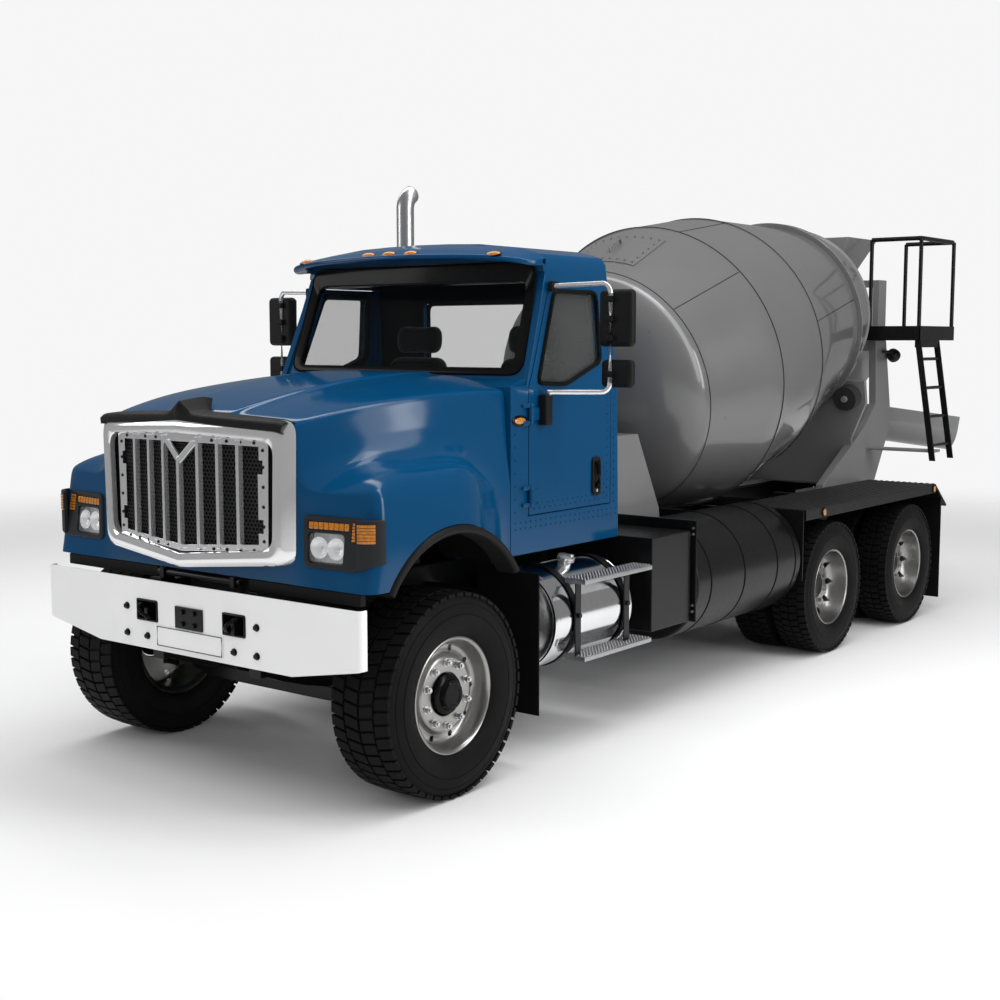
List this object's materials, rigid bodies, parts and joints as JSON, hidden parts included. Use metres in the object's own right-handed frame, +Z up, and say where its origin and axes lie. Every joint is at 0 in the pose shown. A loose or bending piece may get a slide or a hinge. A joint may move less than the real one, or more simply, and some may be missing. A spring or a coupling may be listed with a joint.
{
  "type": "concrete mixer truck",
  "caption": "Conventional-cab concrete mixer truck with a tilting hood, opening doors, steered front wheels, twin rear wheels, a leaning rotating drum and a swinging discharge chute.",
  "frame": {"origin": "on the ground under the middle of the truck's length and width", "axes": "+Z up, -Y towards the nose, +X towards the driver's side"},
  "size_m": [2.944, 8.89, 3.4563],
  "materials": {
    "blue_paint": "gloss blue paint",
    "white_paint": "satin white paint",
    "drum_paint": "gloss grey metallic paint",
    "tyre_rubber": "matt black rubber",
    "wheel_aluminium": "brushed",
    "polished_aluminium": "polished",
    "chrome_trim": "bright chrome",
    "tinted_glass": "grey tinted",
    "black_rubber": "matt",
    "seat_fabric": "woven",
    "black_plastic": "moulded",
    "cast_engine": "cast",
    "red_lens": "clear red lens",
    "black_steel": "satin black paint"
  },
  "bodies": {
    "chassis": {"frame_rails": "black_steel", "bumper": "white_paint", "tow_gear": "black_steel", "engine": "cast_engine", "drive_shafts": "black_steel", "front_axle": "black_steel", "leaf_springs": "black_steel", "rear_axles": "black_steel", "walking_beams": "black_steel", "cab_shell": "blue_paint", "cab_visor": "blue_paint", "cab_glass": "tinted_glass", "seats": "seat_fabric", "dashboard": "black_plastic", "fuel_tanks": "polished_aluminium", "tank_brackets": "black_steel", "steps": "polished_aluminium", "water_tanks": "black_steel", "exhaust_stack": "chrome_trim", "mudflaps": "black_rubber", "rear_decks": "black_steel", "tail_lamps": "red_lens", "front_pedestal": "drum_paint", "drum_drive": "drum_paint", "rear_pedestal": "drum_paint", "charge_hopper": "drum_paint", "collector": "drum_paint", "platform": "black_steel", "ladder": "black_steel"},
    "hood": {"hood": "blue_paint", "hood_hinge": "black_steel", "arch_flares": "black_plastic", "grille_surround": "chrome_trim", "grille_insert": "black_plastic", "headlamps": "black_plastic"},
    "door_left": {"door_left": "blue_paint", "door_glass_left": "tinted_glass", "mirror_left": "black_plastic"},
    "door_right": {"door_right": "blue_paint", "door_glass_right": "tinted_glass", "mirror_right": "black_plastic"},
    "knuckle_left": {"knuckle_left": "black_steel"},
    "knuckle_right": {"knuckle_right": "black_steel"},
    "front_wheel_left": {"front_tyre_left": "tyre_rubber", "front_rim_left": "wheel_aluminium"},
    "front_wheel_right": {"front_tyre_right": "tyre_rubber", "front_rim_right": "wheel_aluminium"},
    "rear_wheel_1_left": {"twin_tyres_1_left": "tyre_rubber", "twin_rims_1_left": "wheel_aluminium"},
    "rear_wheel_1_right": {"twin_tyres_1_right": "tyre_rubber", "twin_rims_1_right": "wheel_aluminium"},
    "rear_wheel_2_left": {"twin_tyres_2_left": "tyre_rubber", "twin_rims_2_left": "wheel_aluminium"},
    "rear_wheel_2_right": {"twin_tyres_2_right": "tyre_rubber", "twin_rims_2_right": "wheel_aluminium"},
    "drum": {"drum": "drum_paint"},
    "drum_roller_left": {"drum_roller_left": "black_steel"},
    "drum_roller_right": {"drum_roller_right": "black_steel"},
    "chute_yoke": {"chute_yoke": "black_steel"},
    "chute": {"chute": "drum_paint"}
  },
  "joints": [
    {"name": "hood_tilt", "type": "hinge", "parent": "chassis", "child": "hood", "pos_m": [0, -4.34, 1.122], "axis": [1, 0, 0], "range_deg": [0, 60]},
    {"name": "door_left_swing", "type": "hinge", "parent": "chassis", "child": "door_left", "pos_m": [1.016, -2.765, 1.7], "axis": [0, 0, -1], "range_deg": [0, 70]},
    {"name": "door_right_swing", "type": "hinge", "parent": "chassis", "child": "door_right", "pos_m": [-1.016, -2.765, 1.7], "axis": [0, 0, 1], "range_deg": [0, 70]},
    {"name": "steer_left", "type": "hinge", "parent": "chassis", "child": "knuckle_left", "pos_m": [0.915, -3.73, 0.544], "axis": [0, 0, 1], "range_deg": [-35, 35]},
    {"name": "steer_right", "type": "hinge", "parent": "chassis", "child": "knuckle_right", "pos_m": [-0.915, -3.73, 0.544], "axis": [0, 0, 1], "range_deg": [-35, 35]},
    {"name": "front_wheel_left_spin", "type": "hinge", "parent": "knuckle_left", "child": "front_wheel_left", "pos_m": [1, -3.73, 0.544], "axis": [1, 0, 0], "continuous": true},
    {"name": "front_wheel_right_spin", "type": "hinge", "parent": "knuckle_right", "child": "front_wheel_right", "pos_m": [-1, -3.73, 0.544], "axis": [1, 0, 0], "continuous": true},
    {"name": "rear_wheel_1_left_spin", "type": "hinge", "parent": "chassis", "child": "rear_wheel_1_left", "pos_m": [0.95, 0.789, 0.503], "axis": [1, 0, 0], "continuous": true},
    {"name": "rear_wheel_1_right_spin", "type": "hinge", "parent": "chassis", "child": "rear_wheel_1_right", "pos_m": [-0.95, 0.789, 0.503], "axis": [1, 0, 0], "continuous": true},
    {"name": "rear_wheel_2_left_spin", "type": "hinge", "parent": "chassis", "child": "rear_wheel_2_left", "pos_m": [0.95, 2.264, 0.503], "axis": [1, 0, 0], "continuous": true},
    {"name": "rear_wheel_2_right_spin", "type": "hinge", "parent": "chassis", "child": "rear_wheel_2_right", "pos_m": [-0.95, 2.264, 0.503], "axis": [1, 0, 0], "continuous": true},
    {"name": "drum_spin", "type": "hinge", "parent": "chassis", "child": "drum", "pos_m": [0, 0.31, 2.16], "axis": [0, 0.9789, 0.2045], "continuous": true},
    {"name": "drum_roller_left_spin", "type": "hinge", "parent": "chassis", "child": "drum_roller_left", "pos_m": [0.63802, 2.30976, 1.87881], "axis": [0, 0.9789, 0.2045], "continuous": true},
    {"name": "drum_roller_right_spin", "type": "hinge", "parent": "chassis", "child": "drum_roller_right", "pos_m": [-0.63802, 2.30976, 1.87881], "axis": [0, 0.9789, 0.2045], "continuous": true},
    {"name": "chute_swing", "type": "hinge", "parent": "chassis", "child": "chute_yoke", "pos_m": [0, 3.57, 1.35], "axis": [0, 0, 1], "range_deg": [-30, 130]},
    {"name": "chute_tilt", "type": "hinge", "parent": "chute_yoke", "child": "chute", "pos_m": [0, 3.57, 1.69], "axis": [-0.6428, 0.766, 0], "range_deg": [-8, 12]}
  ],
  "couplings": [
    {"joint": "steer_right", "follows": "steer_left", "ratio": 1},
    {"joint": "drum_roller_left_spin", "follows": "drum_spin", "ratio": -7.9068},
    {"joint": "drum_roller_right_spin", "follows": "drum_spin", "ratio": -7.9068}
  ]
}
